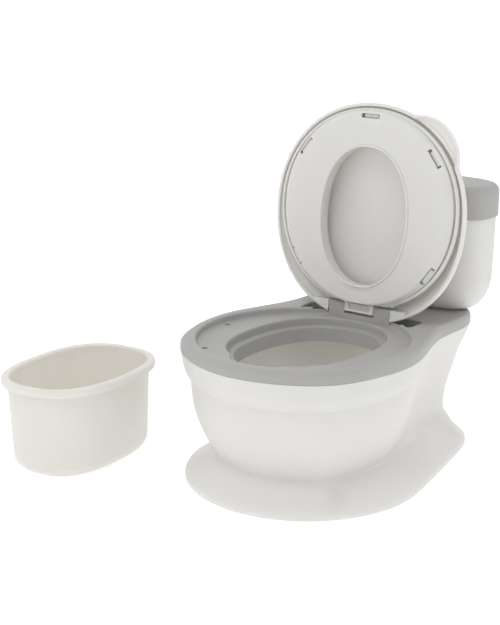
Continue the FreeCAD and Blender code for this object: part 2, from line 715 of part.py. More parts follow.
os.makedirs("parts", exist_ok=True)
for node in nodes:
    node.Shape.exportStep("parts/%s.step" % node.Label)
    b = node.Shape.BoundBox
    print("%-22s solids %d volume %9.0f  x %.1f..%.1f y %.1f..%.1f z %.1f..%.1f" % (
        node.Label, len(node.Shape.Solids), node.Shape.Volume,
        b.XMin, b.XMax, b.YMin, b.YMax, b.ZMin, b.ZMax))
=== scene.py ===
import bmesh
import bpy
import math
import numpy as np
from mathutils import Matrix, Vector


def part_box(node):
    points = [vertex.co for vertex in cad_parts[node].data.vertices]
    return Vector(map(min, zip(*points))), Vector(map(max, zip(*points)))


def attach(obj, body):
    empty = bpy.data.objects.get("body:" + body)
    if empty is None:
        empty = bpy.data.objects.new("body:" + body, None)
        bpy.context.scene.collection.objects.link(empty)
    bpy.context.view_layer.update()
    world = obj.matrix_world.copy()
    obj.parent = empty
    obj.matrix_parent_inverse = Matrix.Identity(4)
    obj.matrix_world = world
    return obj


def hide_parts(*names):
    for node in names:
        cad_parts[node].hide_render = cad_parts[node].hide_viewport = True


# Potty training chair shaped like a small toilet, lid and ring up, pot beside it.
# Shapes are worked out in millimetres, in the frame of the CAD model, and scaled to metres:
# X to the side, -Y to the front, Z up from the floor.

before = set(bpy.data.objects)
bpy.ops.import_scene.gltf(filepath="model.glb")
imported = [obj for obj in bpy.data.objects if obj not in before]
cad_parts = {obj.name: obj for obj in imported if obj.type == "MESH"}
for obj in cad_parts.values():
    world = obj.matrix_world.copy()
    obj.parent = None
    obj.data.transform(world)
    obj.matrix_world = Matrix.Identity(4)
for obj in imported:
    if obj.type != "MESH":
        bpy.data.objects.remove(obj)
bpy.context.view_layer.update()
scene = bpy.context.scene
MM = 0.001
WALL = 2.5  # thickness of the thinner mouldings
SKIN = 0.05  # how far outer faces stay inside the CAD solids
ABOVE, BELOW = 60.0, -40.0  # how far cutters reach past the hinge line


def box_mm(node):
    """Lowest and highest corners of a CAD node, in millimetres."""
    low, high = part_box(node)
    return np.array(low) / MM, np.array(high) / MM


# ------------------------------------------------------------------ curves and rings
COLUMNS_PER_SPAN = 12
OUTLINE_POINTS = 28
OVAL_COLUMNS = 168
OVAL_TURNS = 2 * np.pi * np.arange(OVAL_COLUMNS) / OVAL_COLUMNS - np.pi / 2
OVAL_COS, OVAL_SIN = np.cos(OVAL_TURNS), np.sin(OVAL_TURNS)


def on_span(start, end, bend_start, bend_end, length, t):
    """A point of one cubic span, t along its length, from its ends and the bends there."""
    u = length - t
    return ((bend_start * u ** 3 + bend_end * t ** 3) / (6 * length)
            + (start / length - bend_start * length / 6) * u
            + (end / length - bend_end * length / 6) * t)


def periodic_spline(points, per_span):
    """Points along the smooth closed curve through the given points."""
    p = np.asarray(points, float)
    count = len(p)
    step = np.linalg.norm(np.roll(p, -1, 0) - p, axis=1)
    slope = (np.roll(p, -1, 0) - p) / step[:, None]
    matrix = np.zeros((count, count))
    for i in range(count):
        matrix[i, i - 1] += step[i - 1]
        matrix[i, i] += 2 * (step[i - 1] + step[i])
        matrix[i, (i + 1) % count] += step[i]
    bend = np.linalg.solve(matrix, 6 * (slope - np.roll(slope, 1, 0)))
    found = []
    for i in range(count):
        j = (i + 1) % count
        for t in np.arange(per_span) / per_span * step[i]:
            found.append(on_span(p[i], p[j], bend[i], bend[j], step[i], t))
    return np.array(found)


def open_spline(points, count):
    """count points along the smooth open curve through the given points."""
    p = np.asarray(points, float)
    step = np.linalg.norm(np.diff(p, axis=0), axis=1)
    slope = np.diff(p, axis=0) / step[:, None]
    knots = len(p)
    matrix = np.eye(knots)
    side = np.zeros_like(p)
    for i in range(1, knots - 1):
        matrix[i, i - 1:i + 2] = step[i - 1], 2 * (step[i - 1] + step[i]), step[i]
        side[i] = 6 * (slope[i] - slope[i - 1])
    bend = np.linalg.solve(matrix, side)
    run = np.concatenate([[0], np.cumsum(step)])
    found = []
    for at in np.linspace(0, run[-1], count):
        i = min(int(np.searchsorted(run, at, "right")) - 1, knots - 2)
        found.append(on_span(p[i], p[i + 1], bend[i], bend[i + 1], step[i], at - run[i]))
    return np.array(found)


def evenly(curve, count):
    """count evenly spaced points around a dense closed curve."""
    closed = np.vstack([curve, curve[:1]])
    run = np.concatenate([[0], np.cumsum(np.linalg.norm(np.diff(closed, axis=0), axis=1))])
    at = np.arange(count) / count * run[-1]
    return np.column_stack([np.interp(at, run, closed[:, k]) for k in range(closed.shape[1])])


def mirrored(half):
    """A whole outline from its half on the +X side, whose ends lie on the middle line."""
    return half + [(-x, y) for x, y in reversed(half[1:-1])]


def shrunk(points, distances):
    """An outline moved inwards, square to itself, by a distance at each point."""
    along = np.roll(points, -1, 0) - np.roll(points, 1, 0)
    along = along / np.linalg.norm(along, axis=1)[:, None]
    inwards = np.column_stack([-along[:, 1], along[:, 0]])
    return points + inwards * np.broadcast_to(distances, len(points))[:, None]


def at_height(outline, z):
    """A ring: a flat outline lifted to a height."""
    return np.column_stack([outline, np.full(len(outline), float(z))])


def superellipse(half_x, half_y, power):
    """An oval about the origin, anticlockwise from its -Y end."""
    return np.column_stack([half_x * np.sign(OVAL_COS) * np.abs(OVAL_COS) ** (2 / power),
                            half_y * np.sign(OVAL_SIN) * np.abs(OVAL_SIN) ** (2 / power)])


def rounded_rectangle(half_x, half_y, corner, steps=6):
    """A rectangle about the origin, each corner an arc of the given radius."""
    found = []
    for cx, cy, start in ((1, -1, -90), (1, 1, 0), (-1, 1, 90), (-1, -1, 180)):
        for t in np.linspace(0, 90, steps):
            turn = math.radians(start + t)
            found.append((cx * (half_x - corner) + corner * math.cos(turn),
                          cy * (half_y - corner) + corner * math.sin(turn)))
    return np.array(found)


SHORTEST_ARM = 0.12
ARM_SHARE = 0.47


def rounded(corners, steps=5):
    """Rings of a profile that closes on itself, from (ring, radius) pairs.

    Each corner becomes an arc of its radius, whose arms take at most ARM_SHARE of a side.
    """
    rings = [np.asarray(ring, float) for ring, _ in corners]
    found = []
    for k, (_, radius) in enumerate(corners):
        if not radius:
            found.append(rings[k])
            continue
        back = rings[k - 1] - rings[k]
        on = rings[(k + 1) % len(rings)] - rings[k]
        back_length = np.linalg.norm(back, axis=1)[:, None]
        on_length = np.linalg.norm(on, axis=1)[:, None]
        back, on = back / back_length, on / on_length
        half = np.arccos(np.clip((back * on).sum(1), -1, 0.999))[:, None] / 2
        half = np.minimum(half, np.pi / 2 - 0.002)
        reach = np.clip(radius / np.tan(half), SHORTEST_ARM,
                        ARM_SHARE * np.minimum(back_length, on_length))
        middle = back + on
        middle = middle / np.maximum(np.linalg.norm(middle, axis=1)[:, None], 1e-9)
        centre = rings[k] + middle * reach / np.cos(half)
        start, end = rings[k] + back * reach - centre, rings[k] + on * reach - centre
        sweep = np.pi - 2 * half
        for t in np.linspace(0, 1, steps + 1):
            found.append(centre + (np.sin((1 - t) * sweep) * start + np.sin(t * sweep) * end)
                         / np.sin(sweep))
    return found


# ------------------------------------------------------------------ meshes
SHARP = math.radians(38)
WELD = 2e-6
SLIVER = 1e-6


def cleaned(mesh):
    """Welds stray doubles and points every face outwards."""
    b = bmesh.new()
    b.from_mesh(mesh)
    bmesh.ops.remove_doubles(b, verts=b.verts, dist=WELD)
    bmesh.ops.dissolve_degenerate(b, edges=b.edges, dist=SLIVER)
    bmesh.ops.recalc_face_normals(b, faces=b.faces)
    b.to_mesh(mesh)
    b.free()
    mesh.update()


def linked(name, data):
    """A new object in the scene that holds a mesh, a light or a camera."""
    thing = bpy.data.objects.new(name, data)
    scene.collection.objects.link(thing)
    return thing


def loft(name, rings, ends=False):
    """A skin over rings of points: a closed loop of rings, or a solid with two flat ends."""
    count = len(rings[0])
    faces = []
    for r in range(len(rings) - (1 if ends else 0)):
        low, high = r * count, (r + 1) % len(rings) * count
        faces += [(low + i, low + (i + 1) % count, high + (i + 1) % count, high + i)
                  for i in range(count)]
    if ends:
        faces.append(tuple(range(count)))
        faces.append(tuple((len(rings) - 1) * count + i for i in range(count)))
    mesh = bpy.data.meshes.new(name)
    mesh.from_pydata([tuple(p) for p in np.concatenate(rings) * MM], [], faces)
    cleaned(mesh)
    return linked(name, mesh)


def lathe(name, profile, x=0.0, y=0.0, count=40):
    """A solid turned about an upright axis through (x, y), from (radius, z) pairs."""
    turn = 2 * np.pi * np.arange(count) / count
    circle = np.column_stack([np.cos(turn), np.sin(turn)])
    return loft(name, [at_height(circle * r + (x, y), z) for r, z in profile], ends=True)


def between(name, low, high, edge, section):
    """A solid between two end faces with rounded rims, from section(inset, place)."""
    turns = [math.radians(t) for t in np.linspace(0, 90, 4)]
    arc = [(edge * (1 - math.sin(t)), edge * (1 - math.cos(t))) for t in turns]
    rings = [section(inset, low + rise) for inset, rise in arc]
    rings += [section(inset, high - rise) for inset, rise in reversed(arc)]
    return loft(name, rings, ends=True)


def block(name, low, high, corner=1.0, edge=0.8):
    """An upright block with rounded corners and rounded top and bottom edges."""
    low, high = np.array(low, float), np.array(high, float)
    middle = (low + high) / 2
    half = (high - low) / 2

    def section(inset, z):
        outline = rounded_rectangle(half[0] - inset, half[1] - inset, max(corner - inset, 0.1))
        return at_height(outline + middle[:2], z)

    return between(name, low[2], high[2], edge, section)


def bar(name, outline, low, high, edge=0.6):
    """A solid running along X between low and high, from an outline in (y, z)."""
    def section(inset, x):
        ring = shrunk(np.asarray(outline, float), inset)
        return np.column_stack([np.full(len(ring), x), ring])

    return between(name, low, high, edge, section)


def moved(thing, matrix):
    thing.data.transform(matrix)
    return thing


def turned_to(thing, x, y, degrees):
    """Turns a piece about the upright axis and takes it to (x, y)."""
    return moved(thing, Matrix.Translation(Vector((x, y, 0)) * MM)
                 @ Matrix.Rotation(math.radians(degrees), 4, "Z"))


def joined(name, things):
    """Several closed skins as one piece."""
    b = bmesh.new()
    for thing in things:
        b.from_mesh(thing.data)
    mesh = bpy.data.meshes.new(name)
    b.to_mesh(mesh)
    b.free()
    for thing in things:
        bpy.data.objects.remove(thing)
    return linked(name, mesh)


def cut(thing, cutters, operation="DIFFERENCE"):
    """The piece with each cutter taken away, or with INTERSECT only what lies inside them."""
    for cutter in cutters:
        change = thing.modifiers.new("cut", "BOOLEAN")
        change.operation = operation
        change.solver = "EXACT"
        change.object = cutter
        bpy.context.view_layer.update()
        graph = bpy.context.evaluated_depsgraph_get()
        mesh = bpy.data.meshes.new_from_object(thing.evaluated_get(graph))
        thing.modifiers.clear()
        thing.data = mesh
        bpy.data.objects.remove(cutter)
    cleaned(thing.data)
    return thing


def finished(thing, material, body, slot, *nodes):
    """Shades a piece, gives it its material and hands it to the frame."""
    mesh = thing.data
    mesh.materials.clear()
    mesh.materials.append(material)
    for polygon in mesh.polygons:
        polygon.use_smooth = True
        polygon.material_index = 0
    mesh.set_sharp_from_angle(angle=SHARP)
    weighted = thing.modifiers.new("even_shading", "WEIGHTED_NORMAL")
    weighted.keep_sharp = True
    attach(thing, body)
    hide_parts(*nodes)


# ------------------------------------------------------------------ materials
def node(tree, kind, values=(), **inputs):
    """A shader node with its settings and its input values or links; _6 is input number 6."""
    made = tree.nodes.new(kind)
    for name, value in values:
        setattr(made, name, value)
    for name, value in inputs.items():
        socket = made.inputs[int(name[1:])] if name[0] == "_" else made.inputs[name]
        if isinstance(value, bpy.types.NodeSocket):
            tree.links.new(value, socket)
        else:
            socket.default_value = value
    return made


def mapped(tree, value, limits, kind="LINEAR"):
    """A Map Range node; limits is what it changes of the node's From 0..1, To 0..1."""
    found = node(tree, "ShaderNodeMapRange", [("interpolation_type", kind)], Value=value)
    for name, limit in limits.items():
        found.inputs[name].default_value = limit
    return found.outputs["Result"]


def noise(tree, place, scale, detail, **inputs):
    found = node(tree, "ShaderNodeTexNoise", Vector=place, Scale=scale, Detail=detail, **inputs)
    return found.outputs["Fac"]


def blank(name):
    """A new material and its empty node tree."""
    material = bpy.data.materials.new(name)
    material.use_nodes = True
    material.node_tree.nodes.clear()
    return material, material.node_tree


def moulded(name, colour, tint, roughness, bump, grain, specular=0.5, translucent=0.0):
    """Moulded plastic: faint mottling, fine grain, a painted highlight along the edges and painted
    shade in the corners.
    """
    material, tree = blank(name)
    place = node(tree, "ShaderNodeTexCoord").outputs["Object"]
    mottle = noise(tree, place, 14.0, 3.0, Roughness=0.55)
    fine = noise(tree, place, grain, 2.0, Roughness=0.6)
    wide = noise(tree, place, 90.0, 2.0, Roughness=0.5)
    share = mapped(tree, mottle, {"From Min": 0.3, "From Max": 0.7})
    mixed = node(tree, "ShaderNodeMix", [("data_type", "RGBA")], _0=share,
                 _6=(*colour, 1.0), _7=(*tint, 1.0))
    # painted highlight and painted shade: the base colour is scaled by pointiness, up to 7% lighter on
    # convex edges and darker in concave corners
    pointy = node(tree, "ShaderNodeNewGeometry").outputs["Pointiness"]
    edge = mapped(tree, pointy, {"From Min": 0.44, "From Max": 0.56, "To Min": 0.93, "To Max": 1.07})
    painted_edge_light_and_shade = node(tree, "ShaderNodeVectorMath", [("operation", "SCALE")], _0=mixed.outputs[2],
                  Scale=edge)
    rough = mapped(tree, wide, {"To Min": roughness - 0.05, "To Max": roughness + 0.05})
    relief = node(tree, "ShaderNodeBump", Height=fine, Strength=bump, Distance=0.0002)
    shader = node(tree, "ShaderNodeBsdfPrincipled", Roughness=rough,
                  Normal=relief.outputs["Normal"])
    tree.links.new(painted_edge_light_and_shade.outputs["Vector"], shader.inputs["Base Color"])
    shader.inputs["Specular IOR Level"].default_value = specular
    glow = node(tree, "ShaderNodeBsdfTranslucent", Color=(0.98, 0.94, 0.85, 1.0),
                Normal=relief.outputs["Normal"])
    through = node(tree, "ShaderNodeMixShader", _0=translucent, _1=shader.outputs["BSDF"],
                   _2=glow.outputs["BSDF"])
    node(tree, "ShaderNodeOutputMaterial", Surface=through.outputs["Shader"])
    return material


def brushed_steel():
    """Zinc-plated steel with fine lines along X."""
    material, tree = blank("zinc_steel")
    place = node(tree, "ShaderNodeTexCoord").outputs["Object"]
    stretched = node(tree, "ShaderNodeMapping", Vector=place, Scale=(60.0, 2500.0, 2500.0))
    lines = noise(tree, stretched.outputs["Vector"], 1.0, 3.0)
    spots = noise(tree, place, 400.0, 2.0)
    colour = node(tree, "ShaderNodeMix", [("data_type", "RGBA")], _0=spots,
                  _6=(0.52, 0.53, 0.55, 1.0), _7=(0.66, 0.66, 0.65, 1.0))
    rough = mapped(tree, lines, {"To Min": 0.24, "To Max": 0.42})
    relief = node(tree, "ShaderNodeBump", Height=lines, Strength=0.25, Distance=0.00005)
    shader = node(tree, "ShaderNodeBsdfPrincipled", Metallic=1.0, Normal=relief.outputs["Normal"],
                  Roughness=rough)
    tree.links.new(colour.outputs[2], shader.inputs["Base Color"])
    node(tree, "ShaderNodeOutputMaterial", Surface=shader.outputs["BSDF"])
    return material


WHITE = moulded("white_satin_plastic", colour=(0.86, 0.86, 0.86), tint=(0.84, 0.84, 0.835),
                roughness=0.42, bump=0.10, grain=2600.0, translucent=0.26)
GREY = moulded("grey_satin_plastic", colour=(0.40, 0.395, 0.385), tint=(0.38, 0.375, 0.365),
               roughness=0.50, bump=0.22, grain=2200.0, specular=0.35)
POT_WHITE = moulded("pot_plastic", colour=(0.87, 0.87, 0.865), tint=(0.85, 0.85, 0.84),
                    roughness=0.36, bump=0.08, grain=2600.0, translucent=0.35)
STEEL = brushed_steel()
RUBBER = moulded("matt_rubber", colour=(0.045, 0.045, 0.047), tint=(0.06, 0.06, 0.06),
                 roughness=0.75, bump=0.5, grain=1500.0)

# ------------------------------------------------------------------ pedestal
# outlines in plan, from the front round the +X side to the back
DECK_HALF = [(0, -197.4), (60, -183.8), (104, -153), (129, -98), (136, -42), (124, 11),
             (110, 55), (105.5, 95), (105, 133), (90, 168), (54, 186), (0, 190)]
FOOT_HALF = [(0, -194.7), (47, -186.5), (88, -163.4), (118, -129), (136, -89), (140.9, -45),
             (134.5, 0), (126, 48), (115, 103), (106, 139), (87, 170), (48, 191), (0, 195.7)]
DECK = evenly(periodic_spline(mirrored(DECK_HALF), 40), OUTLINE_POINTS)
FOOT = evenly(periodic_spline(mirrored(FOOT_HALF), 40), OUTLINE_POINTS)

# z, and how far the wall stands inside the deck outline at the front and at the back
BELLY = open_spline([(30, 41.5, 21.0), (39, 35.8, 27.3), (50, 29.0, 29.1), (63, 23.0, 28.0),
                     (80, 16.8, 24.8), (100, 12.8, 19.0), (121, 11.4, 13.5)], 25)
BAND_LEVELS = [(125.5, 8.2, 11.6), (131, 5.4, 9.2), (138, 3.3, 6.2), (146, 1.9, 2.8),
               (154.6, 1.0, 0.6)]
BAND = open_spline(BAND_LEVELS, 9)
# z, and share of the way from the foot's edge to the crease
HOLLOW = open_spline([(6, 0.0), (8, 0.07), (11, 0.23), (15.5, 0.47), (22.5, 0.77), (30, 1.0)], 15)
FOOT_EDGE_Z, CREASE_Z = HOLLOW[0][0], 30.0
FRONT_Y, BLEND = -20.0, 95.0  # where the wall's front shape ends, and how far it turns into the back's
BODY_WALL = 3.0
FOOT_WALL = 4.5

PADS = ["foot_pad_front_right", "foot_pad_front_left", "foot_pad_back_right", "foot_pad_back_left"]
# x, y, and the way the web under the screw runs to the wall
SCREWS = [(side * x, y, side * turn) for side in (1, -1)
          for x, y, turn in ((73.6, -146.3, 40), (114.4, -54.6, 92), (70.0, 150.0, 90))]
SCREW_LOW = box_mm("deck_screws")[0][2]
POST_TALL = 14.0


def back_share(y):
    share = np.clip((y - FRONT_Y) / BLEND, 0, 1)
    return share * share * (3 - 2 * share)


def wall_points(front, back, thickness):
    insets = front + (back - front) * back_share(DECK[:, 1])
    return shrunk(shrunk(DECK, insets), thickness)


def wall_ring(level, thickness=0.0):
    """A ring of the belly or the band, outside or that far inside."""
    z, front, back = level
    return at_height(periodic_spline(wall_points(front, back, thickness), COLUMNS_PER_SPAN), z)


def foot_ring(z, share, thickness=0.0):
    """A ring of the hollow foot, outside or that far inside."""
    crease = wall_points(BELLY[0][1], BELLY[0][2], 0.0)
    outline = shrunk(FOOT + (crease - FOOT) * share, thickness)
    return at_height(periodic_spline(outline, COLUMNS_PER_SPAN), z)


def pedestal_skin():
    """Up the outside from the foot's underside to the rim, and down the inside."""
    corners = [(foot_ring(SKIN, 0.0, FOOT_WALL), 0.8), (foot_ring(SKIN, 0.0), 1.6),
               (foot_ring(FOOT_EDGE_Z, 0.0), 4.0)]
    corners += [(foot_ring(z, share), 0) for z, share in HOLLOW[2:-3]]
    corners += [(foot_ring(CREASE_Z, 1.0), 5.0)]
    corners += [(wall_ring(level), 0) for level in BELLY[3:-2]]
    corners += [(wall_ring(BELLY[-1]), 2.5), (wall_ring(BAND[0]), 2.0)]
    corners += [(wall_ring(level), 0) for level in BAND[2:-1]]
    corners += [(wall_ring(BAND[-1]), 1.0), (wall_ring(BAND[-1], BODY_WALL), 0.8),
                (wall_ring(BAND[0], BODY_WALL + 0.2), 0), (wall_ring(BELLY[-1], BODY_WALL), 0)]
    corners += [(wall_ring(level, BODY_WALL), 0) for level in BELLY[-5:2:-3]]
    corners += [(foot_ring(CREASE_Z, 1.0, BODY_WALL), 3.0)]
    corners += [(foot_ring(z, share, BODY_WALL + 0.6), 0) for z, share in HOLLOW[-4:2:-2]]
    corners += [(foot_ring(FOOT_EDGE_Z, 0.0, FOOT_WALL), 2.0)]
    return loft("pedestal_skin", rounded(corners))


def pad_boss(pad):
    """The boss that holds a foot pad, as far as it lies inside the foot."""
    low, high = box_mm(pad)
    x, y = (low[:2] + high[:2]) / 2
    radius = (high[0] - low[0]) / 2
    hole, rim, outer, top = radius * 0.5, radius + 0.1, radius + WALL, CREASE_Z - 1
    boss = lathe("pad_boss", [(hole, high[2]), (rim, high[2]), (rim, 0.3), (rim + 0.3, 0.1),
                              (outer - 0.3, 0.1), (outer, 0.4), (outer, top), (hole, top)], x, y)
    inside = loft("inside_foot", [foot_ring(z, share, 1.9) for z, share in [(-2.0, 0.0), *HOLLOW]],
                  ends=True)
    return cut(boss, [inside], "INTERSECT")


def screw_post(x, y, turn):
    """The post under a deck screw, and the web that ties it to the wall."""
    low, top = SCREW_LOW, SCREW_LOW + POST_TALL
    post = lathe("post", [(2.0, low), (4.2, low), (5.0, low + 1), (5.0, top - 0.6), (4.4, top),
                          (2.0, top)], x, y)
    web = turned_to(block("post_web", (-1.3, -26.0, low), (1.3, -3.5, top - 3), 0.8, 0.5), x, y, turn)
    inside = loft("inside_wall", [wall_ring(level, 1.2) for level in [BELLY[-1], *BAND_LEVELS]],
                  ends=True)
    return [post, cut(web, [inside], "INTERSECT")]


def pedestal():
    parts = [pedestal_skin()] + [pad_boss(pad) for pad in PADS]
    for x, y, turn in SCREWS:
        parts += screw_post(x, y, turn)
    return joined("pedestal_shell", parts)


finished(pedestal(), WHITE, "chair", "white_plastic", "body_shell")

# ------------------------------------------------------------------ deck
DECK_WALL = 3.0
DECK_ROUND = 9.0
EDGE_Z = 155.0
DECK_TOP = 169.0
FLOOR_Z = 161.0
LEDGE_Z = 151.0
SKIRT_Z = box_mm("deck")[0][2]
OVER_DECK = 190.0
# half width, half length and middle along Y of the ovals, and of the finger bay at the front
RECESS = (121.0, 123.4, -58.6)
OPENING = (79.0, 101.5, -49.3)
THROAT = (71.0, 95.0, -49.3)
BAY = (37.0, 33.0, -132.5)
RECESS_POWER = 2.0
OPENING_POWER = 2.3

pin_low, pin_high = box_mm("hinge_pin_right")
HINGE_Y = (pin_low[1] + pin_high[1]) / 2
HINGE_Z = (pin_low[2] + pin_high[2]) / 2
LUG_RADIUS = 5.6
LUG_LOW_Z = 159.5
LUG_X = (21.0, 44.0)

# the trench behind the recess wall, in which the hinge ends of the lid and ring turn
TRENCH_X, TRENCH_DEEP, TRENCH_CORNER = 79.0, 17.0, 8.0
TRENCH_Y = 59.0
TRENCH_Z = 159.0
TRENCH_BACK = TRENCH_Y + TRENCH_DEEP
PASSAGE_X = (32.0, 64.0)

SPIGOTS = [(45.0, 156.0), (-45.0, 156.0)]
SPIGOT_RADIUS = 8.0
POCKET_DEEP = 9.0


def polar(outer, mid_y):
    """Unit directions of an outline's points seen from (0, mid_y)."""
    ray = outer[:, :2] - (0, mid_y)
    return ray / np.linalg.norm(ray, axis=1)[:, None]


def oval_reach(ray, half_x, half_y, power):
    """Distance along each ray from the middle of an oval to its edge."""
    return ((np.abs(ray[:, 0]) / half_x) ** power
            + (np.abs(ray[:, 1]) / half_y) ** power) ** (-1 / power)


def bay_reach(ray, grow):
    """Distance along each ray from the middle of the opening to the far side of the finger bay."""
    a, b = BAY[0] + grow, BAY[1] + grow
    offset = OPENING[2] - BAY[2]
    qa = (ray[:, 0] / a) ** 2 + (ray[:, 1] / b) ** 2
    qb = 2 * ray[:, 1] * offset / b ** 2
    qc = (offset / b) ** 2 - 1
    inside = qb ** 2 - 4 * qa * qc
    reach = (-qb + np.sqrt(np.maximum(inside, 0))) / (2 * qa)
    return np.where((inside > 0) & (ray[:, 1] < 0), reach, 0)


def smooth_max(a, b, width):
    near = np.maximum(width - np.abs(a - b), 0) / width
    return np.maximum(a, b) + near * near * width / 4


def deck_skin():
    """Over the deck's top, down through the opening, and back along the underside."""
    plan = {inset: periodic_spline(shrunk(DECK, inset), COLUMNS_PER_SPAN)
            for inset in (0, DECK_WALL, DECK_ROUND)}
    recess_ray = polar(plan[DECK_ROUND], RECESS[2])
    mouth_ray = polar(plan[DECK_ROUND], OPENING[2])

    def recess(grow, z):
        reach = oval_reach(recess_ray, RECESS[0] + grow, RECESS[1] + grow, RECESS_POWER)
        return at_height(recess_ray * reach[:, None] + (0, RECESS[2]), z)

    def mouth(grow, z):
        reach = smooth_max(oval_reach(mouth_ray, OPENING[0] + grow, OPENING[1] + grow,
                                      OPENING_POWER), bay_reach(mouth_ray, grow), 5.0)
        return at_height(mouth_ray * reach[:, None] + (0, OPENING[2]), z)

    def throat(grow, z):
        reach = oval_reach(mouth_ray, THROAT[0] + grow, THROAT[1] + grow, OPENING_POWER)
        return at_height(mouth_ray * reach[:, None] + (0, THROAT[2]), z)

    floor_low, top_low = FLOOR_Z - DECK_WALL, DECK_TOP - DECK_WALL
    corners = [(at_height(plan[DECK_WALL], EDGE_Z), 0.6), (at_height(plan[0], EDGE_Z), 1.2),
               (at_height(plan[0], DECK_TOP), DECK_ROUND), (recess(1.0, DECK_TOP), 3.0),
               (recess(-0.5, FLOOR_Z), 2.5), (mouth(1.2, FLOOR_Z), 2.6), (mouth(0, LEDGE_Z), 1.5),
               (throat(0.6, LEDGE_Z), 2.2), (throat(0, SKIRT_Z), 0.8), (throat(WALL, SKIRT_Z), 0.8),
               (throat(WALL, LEDGE_Z - WALL), 1.0), (mouth(WALL, LEDGE_Z - WALL), 1.0),
               (mouth(WALL, floor_low), 1.0), (recess(DECK_WALL, floor_low), 1.0),
               (recess(DECK_WALL, top_low), 1.0), (at_height(plan[DECK_WALL], top_low), 4.0)]
    return loft("deck_skin", rounded(corners, 6))


def recess_form(grow):
    outline = superellipse(RECESS[0] + grow, RECESS[1] + grow, RECESS_POWER) + (0, RECESS[2])
    return loft("recess_form", [at_height(outline, 150.0), at_height(outline, 180.0)], ends=True)


def hinge_trench():
    """The hollow of the trench, which ends at the outer face of the recess wall."""
    rings = []
    for z, grow in ((TRENCH_Z, -1.2), (TRENCH_Z + 0.35, -0.35), (TRENCH_Z + 1.2, 0.0),
                    (DECK_TOP - 1.6, 0.0), (DECK_TOP - 0.7, 0.35), (DECK_TOP, 1.5),
                    (DECK_TOP + 2, 1.5)):
        outline = rounded_rectangle(TRENCH_X + grow, TRENCH_DEEP + grow, TRENCH_CORNER + grow, 9)
        rings.append(at_height(outline + (0, TRENCH_Y), z))
    return cut(loft("trench", rings, ends=True), [recess_form(DECK_WALL)])


def passages():
    """Cutters through the recess wall: deep ones for the lid, a shallow one for the tab."""
    near, far = PASSAGE_X
    found = [block("middle", (-near, 50.0, 167.2), (near, TRENCH_BACK, OVER_DECK), 3.0, 0.6)]
    for low, high in ((near, far), (-far, -near)):
        found.append(block("passage", (low, 40.0, 164.0), (high, TRENCH_BACK, OVER_DECK), 5.0, 4.5))
    return found


def screw_face(y):
    """Height of the face that a screw goes through: the deck's top or the floor of the recess."""
    return DECK_TOP if y > 0 else FLOOR_Z


def screw_pocket(x, y):
    top = screw_face(y)
    return lathe("pocket", [(3.6, top - POCKET_DEEP), (3.6, top - 0.5), (4.1, top), (4.1, top + 9)],
                 x, y)


def screw_boss(x, y):
    """The sleeve under a screw pocket, open above, with a seat for the screw's head."""
    low, seat = 146.2, 149.1
    top = screw_face(y) - POCKET_DEEP + 6.5
    return lathe("boss", [(1.9, low), (6.0, low), (6.5, low + 0.5), (6.5, top), (3.7, top),
                          (3.7, seat), (1.9, seat)], x, y)


def tank_socket(x, y):
    hole = SPIGOT_RADIUS + 0.3
    return lathe("socket", [(hole, EDGE_Z), (hole, DECK_TOP - 0.8), (hole + 0.8, DECK_TOP),
                            (hole + 0.8, DECK_TOP + 3)], x, y)


def trench_tray():
    """The walls and floor under the hinge trench."""
    side = TRENCH_X + WALL
    tray = block("tray", (-side, 39.0, TRENCH_Z - 1.8), (side, TRENCH_BACK + WALL, DECK_TOP - WALL),
                 9.0, 0.8)
    return cut(tray, [recess_form(1.0), hinge_trench()])


def hinge_lugs():
    """Two round-topped lugs that carry the pins, and the saddle between them."""
    near, far = LUG_X
    found = [block("saddle", (-near - 1, HINGE_Y - 5.4, LUG_LOW_Z), (near + 1, HINGE_Y + 5.0, 167.5),
                   0.6, 0.5)]
    arc = [(HINGE_Y + LUG_RADIUS * math.cos(t), HINGE_Z + LUG_RADIUS * math.sin(t))
           for t in np.linspace(0, math.pi, 17)]
    lug = [(HINGE_Y - LUG_RADIUS, LUG_LOW_Z), (HINGE_Y + LUG_RADIUS, LUG_LOW_Z)] + arc
    for low, high in ((near, far), (-far, -near)):
        found.append(bar("lug", lug, low, high, 0.9))
    return found


def deck_moulding():
    skin = deck_skin()
    cut(skin, [hinge_trench(), *passages(), *[screw_pocket(x, y) for x, y, _ in SCREWS],
               *[tank_socket(x, y) for x, y in SPIGOTS]])
    bosses = [screw_boss(x, y) for x, y, _ in SCREWS]
    return joined("deck_moulding", [skin, trench_tray(), *hinge_lugs(), *bosses])


finished(deck_moulding(), GREY, "chair", "grey_plastic", "deck")


# ------------------------------------------------------------------ tank and cap
TANK_POWER = 3.0
TANK_X, TANK_Y = 115.6, 44.2
TANK_LOW = box_mm("tank_shell")[0][2]
SHOULDER_Z, NECK_Z = 285.0, 295.0  # the neck between these heights goes into the cap
cap_low, cap_high = box_mm("tank_cap")
TANK_MID_Y = (cap_low[1] + cap_high[1]) / 2
CAP_X, CAP_Y = (cap_high[:2] - cap_low[:2]) / 2


def tank_ring(half_x, half_y, z):
    return at_height(superellipse(half_x, half_y, TANK_POWER) + (0, TANK_MID_Y), z)


def rounded_foot(ring, half_x, half_y, corner, floor, steps=14):
    """Rings up a rounded lower edge, from the flat underside to the widest place."""
    found = []
    for degrees in np.linspace(0, 90, steps):
        inset = 1 - math.sin(math.radians(degrees))
        found.append(ring(half_x - corner[0] * inset, half_y - corner[1] * inset,
                          floor + corner[2] * (1 - math.cos(math.radians(degrees)))))
    return found


